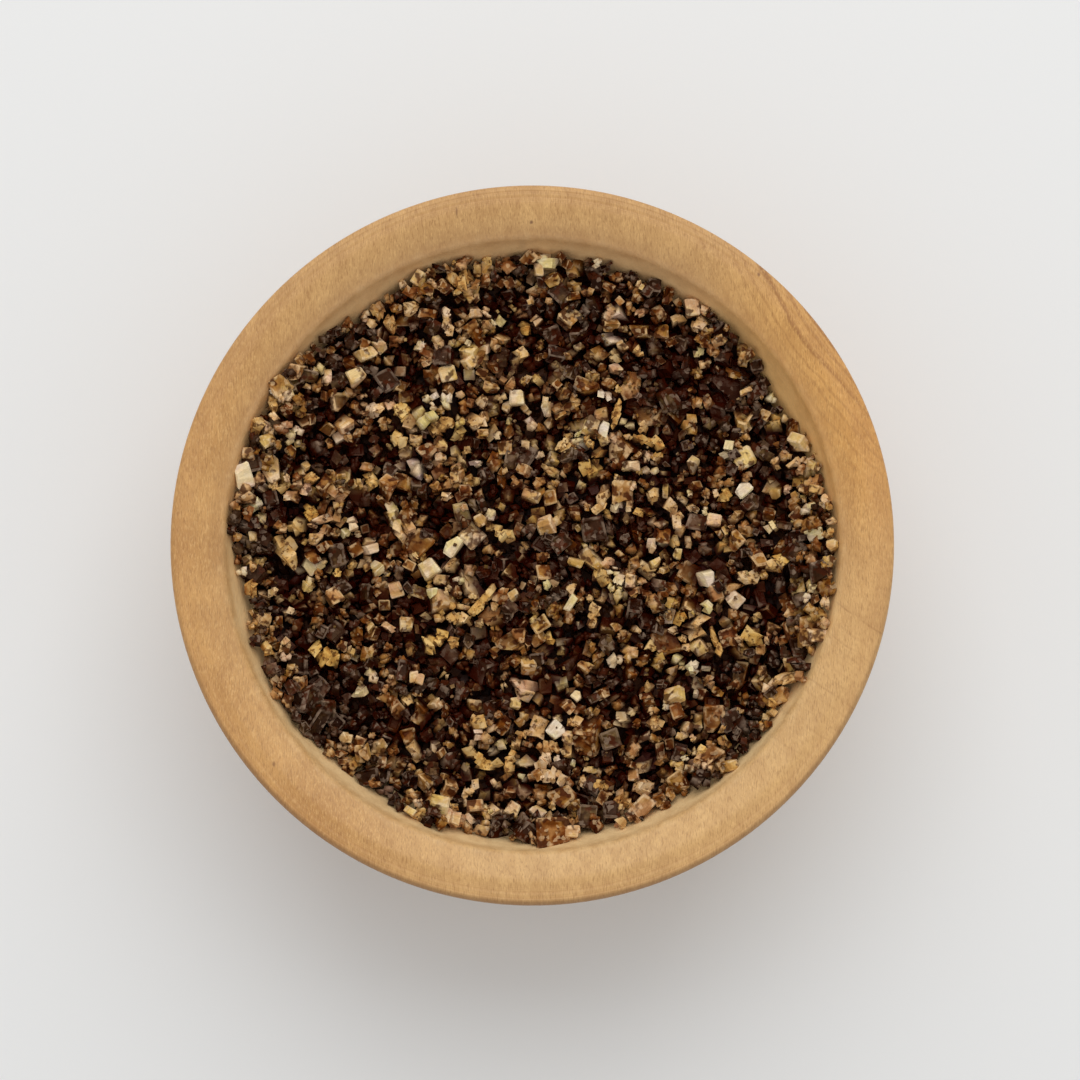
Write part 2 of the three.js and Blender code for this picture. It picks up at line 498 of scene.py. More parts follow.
def bed_relief(seed):
    """The bed's heights: tilted square blocks of crystal, packed one against the other."""
    dice = np.random.default_rng(seed)
    relief = surface - bed_sink - bed_floor
    reach = int(block_reach / grid_step)
    offsets = np.arange(-reach, reach + 1) * grid_step
    across, along = np.meshgrid(offsets, offsets)
    for _ in range(block_count):
        column = dice.integers(reach, 2 * grid_half - reach)
        row = dice.integers(reach, 2 * grid_half - reach)
        turn = dice.uniform(0, pi)
        half = dice.uniform(0.35, 0.75) * MM
        u = across * cos(turn) + along * sin(turn)
        v = along * cos(turn) - across * sin(turn)
        tilt_u, tilt_v = dice.uniform(-0.45, 0.45, 2)
        lift = dice.uniform(-0.9, 0.15) * MM
        top = surface[row, column] - bed_sink + lift + tilt_u * u + tilt_v * v
        inside = (np.abs(u) < half) & (np.abs(v) < half * dice.uniform(0.7, 1.0))
        window = (slice(row - reach, row + reach + 1), slice(column - reach, column + reach + 1))
        relief[window] = np.where(inside, np.maximum(relief[window], top), relief[window])
    return relief


def bed_mesh(relief, rings=100, under_rings=9, turns=300):
    """A closed solid: the relief on top, the hollow's ball shape underneath."""
    ball_radius = hollow_radius - bed_gap
    points = [(0.0, 0.0, relief[grid_half, grid_half])]
    for ring in range(1, rings + 1):
        for turn in range(turns):
            angle = 2 * pi * turn / turns
            rim_z = surface_at(bed_edge * cos(angle), bed_edge * sin(angle)) - bed_sink
            r = (wall_radius(rim_z) - bed_gap) * ring / rings
            x, y = r * cos(angle), r * sin(angle)
            deepest = hollow_centre - sqrt(ball_radius**2 - r**2)
            points.append((x, y, max(surface_at(x, y, relief), deepest)))
    for ring in range(1, under_rings):
        for turn in range(turns):
            x, y, z = points[1 + (rings - 1) * turns + turn]
            start = asin(min(hypot(x, y) / ball_radius, 1.0))
            climb = start * (1 - ring / under_rings)
            angle = atan2(y, x)
            r = ball_radius * sin(climb)
            low = hollow_centre - ball_radius * cos(climb)
            points.append((r * cos(angle), r * sin(angle), low))
    points.append((0.0, 0.0, hollow_centre - hollow_radius + bed_gap))
    return ring_mesh("salt_bed", points, turns, clockwise=True)


def cells(place, size):
    """Random shares, each the same all over a cell of about that size."""
    made = put(place.id_data, "ShaderNodeTexVoronoi", {"Vector": place, "Scale": 1 / size})
    return put(place.id_data, "ShaderNodeSeparateColor", {"Color": made.outputs["Color"]}).outputs


def bed_finish():
    material, tree, shader = new_finish("shaded salt", roughness=0.6, specular=0.15)
    place = put(tree, "ShaderNodeTexCoord").outputs["Object"]
    grey = cells(place, 1.1 * MM)[0]
    tone = blend(fade(grey, 0.2, 0.95), shade_dark, shade_light)
    tree.links.new(tone, shader.inputs["Base Color"])
    return material


bed = new_piece("salt_bed", bed_mesh(bed_relief(11)), bed_finish())
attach(bed, "root")
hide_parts("salt")


# ---- How the loose grains lie ----
# The grains were poured in and settled: each one has rolled down to where others hold it up, and
# together they end at the heap's uneven surface. Larger ones that stand out lie where they are seen.

# a kind's share of the grains, typical size (mm), and how much it gathers where the mix is paler
kinds = {
    "smoky": (0.275, 1.95, -1.4),
    "brown": (0.44, 1.85, -0.4),
    "tan": (0.148, 1.8, 0.9),
    "pale": (0.035, 1.75, 1.0),
    "bit": (0.102, 2.1, 1.0),
}
largest = 2.5
farthest_out = 31.5
cell_size = 3.3 * MM
roundness = 0.45
roll_tries = 14
roll_step = 0.55 * MM

# the filled surface has bumps and hollows, and is banked up at the wall, above all at the front
lump_length = 4.0 * MM
lump_height = 1.3 * MM
bank_from = 27.0 * MM
bank_width = 2.5 * MM
bank_height = 0.9 * MM
front_bank = 1.5
back_bank = -0.45

# smallest grain (mm), share of the typical size, misses allowed, most grains, nearest to the middle (mm)
pourings = [
    (1.45, 1.1, 300, 420, 28.0),
    (1.15, 1.0, 200, 4000, 0),
    (1.0, 0.85, 200, 140, 28.5),
    (0.65, 0.58, 130, 220, 0),
]

# the larger grains that stand out: x, y, length, width (mm), turn (degrees)
standing_out = {
    "pale": [
        (-10.8, -2.4, 2.0, 1.8, 35), (18.1, -3.4, 1.7, 1.6, 12), (1.5, 14.8, 2.2, 1.3, 80),
        (-1.7, 15.7, 1.6, 1.5, 5), (-9.0, 15.3, 1.9, 1.3, 95), (-10.7, 15.9, 1.9, 1.7, 20),
        (12.4, 8.3, 1.8, 1.6, 10), (20.6, 10.2, 2.3, 1.8, 75), (22.1, 6.0, 1.7, 1.5, 40),
        (8.6, -11.8, 2.0, 1.8, 88), (-17.1, 0.1, 1.9, 1.7, 15), (-18.8, 2.3, 1.5, 1.2, 105),
        (-29.2, 4.1, 2.2, 1.6, 25), (-25.5, 11.2, 1.8, 1.5, 60), (-22.5, 18.5, 1.8, 1.5, 30),
        (7.6, 16.0, 1.7, 1.2, 165), (-0.3, 13.0, 1.6, 1.4, 140), (18.2, -6.3, 1.5, 1.3, 155),
        (21.1, -5.7, 1.7, 1.4, 50), (16.7, -12.7, 1.9, 1.6, 70), (-18.0, -15.3, 1.9, 1.5, 45),
        (-16.8, -13.5, 1.6, 1.4, 160), (25.0, 1.9, 1.3, 1.2, 30), (29.4, 1.1, 1.9, 1.2, 15),
        (-8.3, 0.1, 2.2, 1.5, 55),
    ],
    "bit": [
        (-5.3, -22.3, 5.0, 2.0, 158), (-2.4, -23.0, 3.6, 1.4, 75), (-6.6, -25.6, 3.4, 1.3, 60),
        (14.9, 3.1, 4.4, 1.9, 112), (-5.1, -5.6, 4.2, 1.6, 60), (-7.6, -7.6, 3.0, 1.8, 160),
        (6.4, -7.2, 3.0, 1.7, 95), (7.2, -3.2, 2.5, 2.0, 150), (-3.5, 1.5, 3.8, 1.8, 155),
        (-25.9, -0.7, 4.0, 3.0, 100), (-21.7, -11.4, 3.6, 2.4, 150), (-10.4, -9.8, 3.5, 2.4, 50),
        (12.2, 11.0, 3.5, 1.7, 175), (19.1, -10.0, 3.4, 1.2, 118), (-9.6, 12.8, 3.0, 2.0, 35),
        (-5.9, 13.4, 2.8, 2.2, 10), (0.7, -19.1, 2.6, 2.1, 65), (1.7, -21.1, 2.5, 1.7, 165),
        (8.8, 14.0, 3.4, 1.0, 72), (-8.9, 23.7, 3.2, 1.4, 95), (-14.0, 11.4, 2.1, 1.8, 120),
        (2.4, -28.6, 3.6, 2.2, 15), (-9.0, -27.6, 3.0, 1.5, 20), (28.2, 8.9, 3.6, 1.2, 25),
        (7.3, 5.0, 4.0, 1.5, 70), (3.4, 10.6, 2.2, 1.8, 30), (22.5, -3.2, 2.6, 1.8, 165),
    ],
    "smoky": [
        (24.0, 10.2, 3.3, 2.0, 148), (-10.4, 23.1, 2.2, 2.1, 75), (-10.4, 25.8, 2.2, 2.0, 20),
        (-18.2, 23.0, 1.9, 1.7, 60), (-20.8, 22.6, 1.7, 1.5, 10), (-24.9, 16.6, 2.3, 1.9, 30),
        (-23.3, 14.8, 2.2, 1.6, 170), (27.8, -10.8, 2.3, 2.0, 100), (25.2, -12.0, 2.0, 1.8, 130),
        (-29.2, -3.0, 2.2, 2.0, 50), (-29.4, 8.3, 2.4, 1.8, 15), (18.1, -0.3, 1.9, 1.6, 145),
        (27.2, 0.9, 2.0, 1.7, 5), (-9.3, 20.0, 2.0, 1.8, 85), (-14.0, -3.0, 2.0, 1.8, 110),
        (3.0, 0.3, 2.2, 1.8, 40), (-13.8, 26.4, 1.8, 1.6, 55),
    ],
    "brown": [
        (3.8, 24.1, 2.1, 1.9, 140), (0.7, 27.0, 3.0, 1.6, 175),
    ],
}

# where the mix is darker (below nothing) or paler: x, y, reach (mm), shift
mix_patches = [
    (18, 17, 6, -1.3), (24, 11, 4, -0.8), (14, 23, 3, -0.8), (4, 25, 4, -0.6), (-21, 21, 4, -0.8),
    (-20, 10, 3, -0.5), (-5, 5, 3, -0.9), (0, -6, 3.2, -0.7), (-15, -7, 4, -1.2), (-25, -9, 4, -1.3),
    (-18, -20, 6, -1.4), (-11, -25, 3, -1.3), (-4, -15, 3.5, -0.9), (9, -15, 3.5, -0.8),
    (26, 0, 3, -0.6), (10, 0, 3, -0.6), (-9, 16, 6, 1.3), (0, 15.5, 3.5, 0.9), (7, 9, 5, 0.7),
    (15, 5, 4, 1.9), (-25, 6, 4, 0.8), (-26, 0, 3, 0.6), (-9, -3, 4, 1.0), (-5, -9.5, 3, 1.0),
    (8, -4, 4, 0.6), (20, -8, 4, 0.7), (1, -20.5, 4, 1.4), (-5, -26, 3, 1.7), (-15, 10, 3, 0.4),
    (7, -23, 3, 0.5),
]

# the rest of the mix's drift from place to place: length of a wave, strength, where in the noise
mix_waves = [(5 * MM, 2.0, 7.0), (9 * MM, 0.5, 17.0)]


class Settling:
    """Grains at rest, each taken as a ball, filed by place so that its neighbours are found fast."""

    def __init__(self):
        self.cells = {}
        self.grains = []

    def cell(self, x, y):
        return floor(x / cell_size), floor(y / cell_size)

    def hold(self, x, y, z, radius):
        """Files a ball, which others then rest on."""
        self.cells.setdefault(self.cell(x, y), []).append((x, y, z, radius))

    def add(self, x, y, z, radius, **facts):
        self.grains.append({"x": x, "y": y, "z": z, **facts})
        self.hold(x, y, z, radius)

    def rest_height(self, x, y, radius):
        """Height of a grain's centre where it lands at x, y."""
        z = surface_at(x, y) - bed_sink + radius * 0.6
        column, row = self.cell(x, y)
        for i in (column - 1, column, column + 1):
            for j in (row - 1, row, row + 1):
                for gx, gy, gz, gr in self.cells.get((i, j), ()):
                    reach = (gr + radius) ** 2 - (gx - x) ** 2 - (gy - y) ** 2
                    if reach > 0:
                        z = max(z, gz + sqrt(reach))
        return z

    def level_at(self, x, y):
        """The height that the heap is filled to: its surface, with bumps and hollows of its own."""
        wave = noise.noise(Vector((x / lump_length, y / lump_length, 3.0)))
        out = hypot(x, y)
        banked = min(max((out - bank_from) / bank_width, 0.0), 1.0) * bank_height
        banked *= 1 + (front_bank if y < 0 else back_bank) * abs(y) / max(out, MM)
        return surface_at(x, y) + lump_height * wave + banked

    def fits(self, x, y, z, radius):
        return hypot(x, y) + radius * 0.92 < wall_radius(z)

    def roll(self, dice, x, y, radius, tries, step):
        """Rolls a grain downhill from x, y by small steps, and returns where it stops."""
        z = self.rest_height(x, y, radius)
        for _ in range(tries):
            turn = dice.uniform(0, 2 * pi)
            away = dice.uniform(0.2, 1.0) * step
            nx, ny = x + away * cos(turn), y + away * sin(turn)
            nz = self.rest_height(nx, ny, radius)
            if nz < z and self.fits(nx, ny, nz, radius):
                x, y, z = nx, ny, nz
        return x, y, z

    def lay(self, dice, kind, x, y, length, width, turn):
        """Lays a grain that stands out, face up. A long one holds others up at its ends too."""
        radius = roundness * width * MM
        thick = width * dice.uniform(0.8, 1.0)
        x, y, turn = x * MM, y * MM, radians(turn)
        z = surface_at(x, y) - 0.36 * thick * MM
        self.add(x, y, z, radius, kind=kind, span=(length, width, thick), turn=turn, flat=True)
        reach = max(length - width, 0) * 0.5 * MM
        if reach > 0.3 * MM:
            for end in (-1, 1):
                self.hold(x + end * reach * cos(turn), y + end * reach * sin(turn), z, radius)


def mix_shift(x, y):
    """How much paler than the rest the mix is at x, y."""
    total = 0.0
    for px, py, reach, shift in mix_patches:
        away = hypot(x / MM - px, y / MM - py)
        total += shift * exp(-((away / reach) ** 2))
    for length, strength, layer in mix_waves:
        total += strength * noise.noise(Vector((x / length, y / length, layer)))
    return total


def draw_kind(dice, x, y):
    shift = mix_shift(x, y)
    weights = [share * exp(gathering * shift) for share, _, gathering in kinds.values()]
    return dice.choices(list(kinds), weights)[0]


def pour(seed):
    """Pours the loose grains in until the heap is full to its surface."""
    dice = random.Random(seed)
    heap = Settling()
    for kind, grains in standing_out.items():
        for grain in grains:
            heap.lay(dice, kind, *grain)
    for smallest, spread, allowed, most, nearest in pourings:
        misses = 0
        start = len(heap.grains)
        while misses < allowed and len(heap.grains) - start < most:
            out = MM * sqrt(dice.uniform(nearest**2, farthest_out**2))
            turn = dice.uniform(0, 2 * pi)
            x, y = out * cos(turn), out * sin(turn)
            kind = draw_kind(dice, x, y)
            size = kinds[kind][1] * spread * exp(dice.gauss(-0.04, 0.26))
            size = min(max(size, smallest), largest) * MM
            radius = roundness * size
            x, y, z = heap.roll(dice, x, y, radius, roll_tries, roll_step)
            if z + 0.75 * radius > heap.level_at(x, y) or not heap.fits(x, y, z, radius):
                misses += 1
                continue
            misses = 0
            span = tuple(size / MM * exp(dice.gauss(0, 0.2)) for _ in range(3))
            heap.add(x, y, z, radius, kind=kind, span=span, turn=None, flat=dice.random() < 0.5)
    return heap


heap = pour(6)


# ---- The salt crystals ----
# Broken cubes of coarse salt. Many have hollow faces, because a crystal grows fastest along its
# edges, and all are chipped. Smoked and stained by the mushroom, they run from black to off-white.

cube_corners = [((i & 1) - 0.5, (i >> 1 & 1) - 0.5, (i >> 2 & 1) - 0.5) for i in range(8)]
cube_sides = [(0, 2, 3, 1), (4, 5, 7, 6), (0, 1, 5, 4), (2, 6, 7, 3), (0, 4, 6, 2), (1, 3, 7, 5)]


def side_edges(side):
    return list(zip(side, side[1:] + side[:1]))


def crystal_points(dice, hollow):
    """A cube, one unit across: six faces let in from their edges, bevels and corners."""
    corners = [Vector([c + dice.uniform(-0.08, 0.08) for c in corner]) for corner in cube_corners]
    cut = [dice.uniform(0.12, 0.24) for _ in range(8)]
    points, rim, spot, faces = [], [], {}, []
    for side, ids in enumerate(cube_sides):
        middle = sum((corners[c] for c in ids), Vector()) / 4
        dent = middle.normalized() * dice.uniform(*hollow)
        inset = dice.uniform(0.42, 0.6)
        for c in ids:
            spot[side, c] = len(points)
            points.append(corners[c].lerp(middle, cut[c]))
            rim.append(1.0)
        for c in ids:
            spot[side, c, "in"] = len(points)
            points.append(corners[c].lerp(middle, max(inset, cut[c] + 0.12)) - dent)
            rim.append(0.0)
        faces.append([spot[side, c, "in"] for c in ids])
        for c, d in side_edges(ids):
            faces.append([spot[side, c], spot[side, d], spot[side, d, "in"], spot[side, c, "in"]])
    for side, ids in enumerate(cube_sides):
        for c, d in side_edges(ids):
            for other in range(side + 1, 6):
                if (d, c) in side_edges(cube_sides[other]):
                    faces.append([spot[side, d], spot[side, c], spot[other, c], spot[other, d]])
    for c in range(8):
        trio = [spot[side, c] for side, ids in enumerate(cube_sides) if c in ids]
        a, b, d = (points[i] for i in trio)
        if (b - a).cross(d - a).dot(corners[c]) < 0:
            trio.reverse()
        faces.append(trio)
    return points, rim, faces


def hollow_cube(dice):
    return crystal_points(dice, (0.02, 0.18))


def full_cube(dice):
    return crystal_points(dice, (-0.02, 0.04))


def rough_block(dice):
    """A block, one unit across, of eight uneven corners."""
    corners = [Vector([c * dice.uniform(0.45, 1.08) for c in corner]) for corner in cube_corners]
    return corners, [dice.random() for _ in corners], cube_sides


def broken_part(dice, solid, breaks):
    """A solid with pieces cleaved off it by flat cuts across its corners and edges."""
    points, rim, faces = solid(dice)
    part = bmesh.new()
    rim_layer = part.verts.layers.float.new("rim")
    verts = [part.verts.new(point) for point in points]
    for vert, value in zip(verts, rim):
        vert[rim_layer] = value
    for face in faces:
        part.faces.new([verts[i] for i in face])
    for _ in range(breaks):
        way = Vector([dice.gauss(0, 1) for _ in range(3)]).normalized()
        reach = max(v.co.dot(way) for v in part.verts)
        place = way * reach * dice.uniform(0.35, 0.8)
        everything = part.verts[:] + part.edges[:] + part.faces[:]
        cut = bmesh.ops.bisect_plane(part, geom=everything, plane_co=place, plane_no=way, clear_outer=True)
        edges = [piece for piece in cut["geom_cut"] if isinstance(piece, bmesh.types.BMEdge)]
        bmesh.ops.holes_fill(part, edges=edges)
    return part


class Grain:
    """A grain in the making. Each point keeps its rim, its part's tone and its place in that part."""

    def __init__(self):
        self.solid = bmesh.new()
        self.rim = self.solid.verts.layers.float.new("rim")
        self.tone = self.solid.verts.layers.float.new("part")
        self.own_place = self.solid.verts.layers.float_vector.new("own_place")

    def graft(self, part, points, rims, part_tone):
        """Adds a part, its points moved to new places."""
        copies = {}
        for vert, point, rim in zip(part.verts, points, rims):
            copy = self.solid.verts.new(point)
            copy[self.rim] = rim
            copy[self.tone] = part_tone
            copy[self.own_place] = vert.co
            copies[vert] = copy
        for face in part.faces:
            self.solid.faces.new([copies[vert] for vert in face.verts])
        part.free()

    def fit_to_unit(self):
        """Fits the grain into a box of one unit each way."""
        verts = self.solid.verts
        low = Vector([min(v.co[axis] for v in verts) for axis in range(3)])
        high = Vector([max(v.co[axis] for v in verts) for axis in range(3)])
        middle, reach = (low + high) / 2, high - low
        for vert in verts:
            vert.co = Vector([(vert.co[axis] - middle[axis]) / reach[axis] for axis in range(3)])

    def mesh(self):
        made = bpy.data.meshes.new("grain")
        self.solid.to_mesh(made)
        self.solid.free()
        return made


def grain_shape(dice, solid, breaks=0, grown=1, spread=0.32, twist=0.6, worn=False):
    """One grain, or a few parts grown together. Its edges and knobs are marked as rim.

    Worn grains are shaded smooth, which rounds their edges off."""
    grain = Grain()
    for number in range(grown):
        part = broken_part(dice, solid, breaks)
        scale = 1.0 if grown == 1 else dice.uniform(0.45, 0.8)
        shift = Vector() if grown == 1 else Vector([dice.uniform(-spread, spread) for _ in range(3)])
        spin = Euler([dice.uniform(-twist, twist) * (number > 0) for _ in range(3)]).to_matrix()
        points = [spin @ vert.co * scale + shift for vert in part.verts]
        rim_layer = part.verts.layers.float["rim"]
        grain.graft(part, points, [vert[rim_layer] for vert in part.verts], dice.random())
    if grown > 1:
        grain.fit_to_unit()
    mesh = grain.mesh()
    if worn:
        mesh.shade_smooth()
    return mesh


def shape_box(name, meshes):
    """A collection of shapes for the strewing to draw from."""
    box = bpy.data.collections.new(name)
    for number, mesh in enumerate(meshes):
        box.objects.link(bpy.data.objects.new(f"{name}_{number:02d}", mesh))
    return box


def strewing_tree():
    """Puts a shape on every place, turned and sized as that place says, and joins them all."""
    tree = bpy.data.node_groups.new("strew grains", "GeometryNodeTree")
    inputs = {"Places": "Geometry", "Shapes": "Collection", "Number of shapes": "Int", "Seed": "Int",
              "Finish": "Material"}
    names = {}
    for label, kind in inputs.items():
        socket = tree.interface.new_socket(label, in_out="INPUT", socket_type="NodeSocket" + kind)
        names[label] = socket.identifier
    tree.interface.new_socket("Grains", in_out="OUTPUT", socket_type="NodeSocketGeometry")
    given = put(tree, "NodeGroupInput").outputs
    highest = maths("SUBTRACT", given["Number of shapes"], 1.0)
    pick_feeds = {4: 0, 5: highest, "Seed": given["Seed"]}
    pick = put(tree, "FunctionNodeRandomValue", pick_feeds, data_type="INT").outputs[2]
    tone_seed = {"Seed": plus(given["Seed"], 50.0)}
    tone = put(tree, "FunctionNodeRandomValue", tone_seed, data_type="FLOAT").outputs[1]
    box = {"Collection": given["Shapes"], "Separate Children": True, "Reset Children": True}
    shapes = put(tree, "GeometryNodeCollectionInfo", box)
    turn, span = (
        put(tree, "GeometryNodeInputNamedAttribute", {"Name": name}, data_type="FLOAT_VECTOR")
        for name in ("turn", "span")
    )
    rotation = put(tree, "FunctionNodeEulerToRotation", {0: turn.outputs["Attribute"]})
    strewn = put(tree, "GeometryNodeInstanceOnPoints", {
        "Points": given["Places"],
        "Instance": shapes.outputs[0],
        "Pick Instance": True,
        "Instance Index": pick,
        "Rotation": rotation.outputs[0],
        "Scale": span.outputs["Attribute"],
    })
    toned_feeds = {"Geometry": strewn.outputs[0], "Name": "tone", "Value": tone}
    toned = put(
        tree, "GeometryNodeStoreNamedAttribute", toned_feeds, data_type="FLOAT", domain="INSTANCE")
    joined = put(tree, "GeometryNodeRealizeInstances", {"Geometry": toned.outputs[0]})
    finish = {"Geometry": joined.outputs[0], "Material": given["Finish"]}
    finished = put(tree, "GeometryNodeSetMaterial", finish)
    put(tree, "NodeGroupOutput", {0: finished.outputs[0]})
    return tree, names


strewing, strewing_inputs = strewing_tree()


def lie(grain, dice):
    """Gives a grain its turn and span in metres: flat ones lie face up, the rest any way."""
    if grain["flat"]:
        tip = [dice.gauss(0, 0.24), dice.gauss(0, 0.24)]
    else:
        tip = [dice.uniform(0, 2 * pi), dice.uniform(0, 2 * pi)]
    spin = dice.uniform(0, 2 * pi) if grain["turn"] is None else grain["turn"]
    return {**grain, "turn": (*tip, spin), "span": tuple(s * MM for s in grain["span"])}


def mark_points(mesh, label, values):
    """Gives each point of a mesh a number, or a vector where there are three numbers a point."""
    kind, field = ("FLOAT", "value") if len(values) == len(mesh.vertices) else ("FLOAT_VECTOR", "vector")
    mesh.attributes.new(label, kind, "POINT").data.foreach_set(field, values)


def strew(name, grains, shapes, seed, material):
    """Makes one piece of all the grains of a kind: shapes on places, joined to a plain mesh.

    Its points also keep their depth in the heap, and how far down their grain they lie."""
    places = bpy.data.meshes.new(name + "_places")
    places.from_pydata([(g["x"], g["y"], g["z"]) for g in grains], [], [])
    for label in ("turn", "span"):
        mark_points(places, label, [value for g in grains for value in g[label]])
    mark_points(places, "middle", [g["z"] for g in grains])
    piece = bpy.data.objects.new(name, places)
    bpy.context.scene.collection.objects.link(piece)
    modifier = piece.modifiers.new("strew", "NODES")
    modifier.node_group = strewing
    modifier[strewing_inputs["Shapes"]] = shapes
    modifier[strewing_inputs["Number of shapes"]] = len(shapes.objects)
    modifier[strewing_inputs["Seed"]] = seed
    modifier[strewing_inputs["Finish"]] = material
    depsgraph = bpy.context.evaluated_depsgraph_get()
    strewn = bpy.data.meshes.new_from_object(
        piece.evaluated_get(depsgraph), preserve_all_data_layers=True, depsgraph=depsgraph
    )
    piece.modifiers.remove(modifier)
    piece.data = strewn
    depths = [surface_at(v.co.x, v.co.y) - v.co.z for v in strewn.vertices]
    middles = [d.value for d in strewn.attributes["middle"].data]
    halves = [max(min(d.vector) / 2, 1e-5) for d in strewn.attributes["span"].data]
    unders = [(m - v.co.z) / half for v, m, half in zip(strewn.vertices, middles, halves)]
    for label in ("turn", "span", "middle"):
        strewn.attributes.remove(strewn.attributes[label])
    mark_points(strewn, "depth", depths)
    mark_points(strewn, "under", unders)
    bpy.data.meshes.remove(places)
    strewn.name = name
    return piece


# painted shade: the next three darken the grains' undersides and everything that lies deep in the heap
deep_shade_brown = (0.033, 0.0032, 0.0005)
underside_shade = (0.46, 0.21, 0.075)
underside_shade_share = 0.6
pit_brown = (0.058, 0.0095, 0.0015)
dull_tint = (1.0, 0.93, 0.97)
amber_tint = (1.0, 0.97, 0.54)
rosy_tint = (1.02, 0.95, 1.0)
green_tint = (0.95, 1.01, 0.93)


def attribute(tree, name):
    return put(tree, "ShaderNodeAttribute", attribute_name=name).outputs["Fac"]


def another_share(tone, factor):
    """Another random share for each grain, made from its tone."""
    return maths("FRACT", times(tone, factor))


def ramp(value, stops):
    """Colours by value. Each stop is a place from 0 to 1 and its colour, the outer two at 0 and 1."""
    made = put(value.id_data, "ShaderNodeValToRGB", {"Fac": value})
    elements = made.color_ramp.elements
    elements[0].color = (*stops[0][1], 1)
    elements[1].color = (*stops[-1][1], 1)
    for place, colour in stops[1:-1]:
        elements.new(place).color = (*colour, 1)
    return made.outputs["Color"]


def brighten(tone, factor):
    feeds = {0: tone, "Scale": factor}
    return put(tone.id_data, "ShaderNodeVectorMath", feeds, operation="SCALE").outputs[0]


def paint_shade_below(shader, tone, shallow, deep):
    """Paints shade on the undersides of the grains, and on everything that lies deep in the heap."""
    tree = shader.id_data
    underside_shade_mask = fade(attribute(tree, "under"), -0.5, 0.5, 0, underside_shade_share)
    underside_shaded = blend(underside_shade_mask, tone, underside_shade, "MULTIPLY")
    depth_shade = fade(attribute(tree, "depth"), shallow, deep)
    tree.links.new(blend(depth_shade, underside_shaded, deep_shade_brown), shader.inputs["Base Color"])


def crystal_finish(name, stops, edge, edge_wear_and_light_share, glint_share, pit_from, pit_share, roughness, gloss):
    """Stained salt: each grain has its own tone, mottled inside, with painted glints, edges paler from
    wear and painted highlight, and painted shade below.
    """
    material, tree, shader = new_finish(name, roughness, specular=0.12)
    shader.inputs["IOR"].default_value = 1.54
    shader.inputs["Specular Tint"].default_value = (*gloss, 1)
    tone = attribute(tree, "tone")
    place = put(tree, "ShaderNodeTexCoord").outputs["Object"]
    own_place = put(tree, "ShaderNodeAttribute", attribute_name="own_place").outputs["Vector"]

    # how pale a spot is: the grain's tone, its part's, clouds and flaws
    mottle = cloud(place, 1.25)
    flaw = cells(place, 0.42 * MM)[0]
    mixed = plus(times(tone, 0.48), times(attribute(tree, "part"), 0.16))
    mixed = plus(mixed, fade(mottle, 0.32, 0.68, 0.0, 0.38))
    mixed = plus(mixed, times(flaw, 0.06))
    salt = ramp(mixed, [(number / 3, stop) for number, stop in enumerate(stops)])

    # some grains and patches are more amber, and single grains rosy or greenish
    hue = fade(cloud(place, 1.9), 0.42, 0.58, 0.0, 0.5)
    amber = plus(hue, times(another_share(tone, 9.7), 0.5))
    tinted = blend(1.0, salt, blend(amber, dull_tint, amber_tint), "MULTIPLY")
    own_tint = blend(another_share(tone, 23.3), rosy_tint, green_tint)
    tinted = blend(1.0, tinted, own_tint, "MULTIPLY")

    # edges paler from wear and painted highlight, dark spots of smoke, painted glints and fine streaks
    edges = times(fade(attribute(tree, "rim"), 0.45, 0.95), fade(mottle, 0.4, 0.56))
    worn_and_lit_edges = blend(times(edges, edge_wear_and_light_share), tinted, edge)
    moved = put(tree, "ShaderNodeMapping", {"Vector": place, "Location": (0.3, 0.2, 0.1)}).outputs[0]
    spots = cloud(moved, 1.1)
    spotted = blend(fade(spots, pit_from, pit_from + 0.10, 0, pit_share), worn_and_lit_edges, pit_brown)
    glint = fade(cells(place, 0.40 * MM)[1], 0.82, 0.90, 0, glint_share)
    glinting = blend(glint, spotted, edge)
    grain = cloud(place, 0.24, 2, 0.6)
    streak = cloud(own_place, (0.9, 0.07, 0.9), 1, unit=1)
    fine = times(fade(streak, 0.3, 0.7, 0.88, 1.06), fade(grain, 0.3, 0.7, 0.90, 1.05))
    paint_shade_below(shader, brighten(glinting, fine), shallow=0.03 * MM, deep=1.2 * MM)
    bump(shader, plus(grain, times(flaw, 0.8)), depth=0.08 * MM, strength=0.6)
    return material


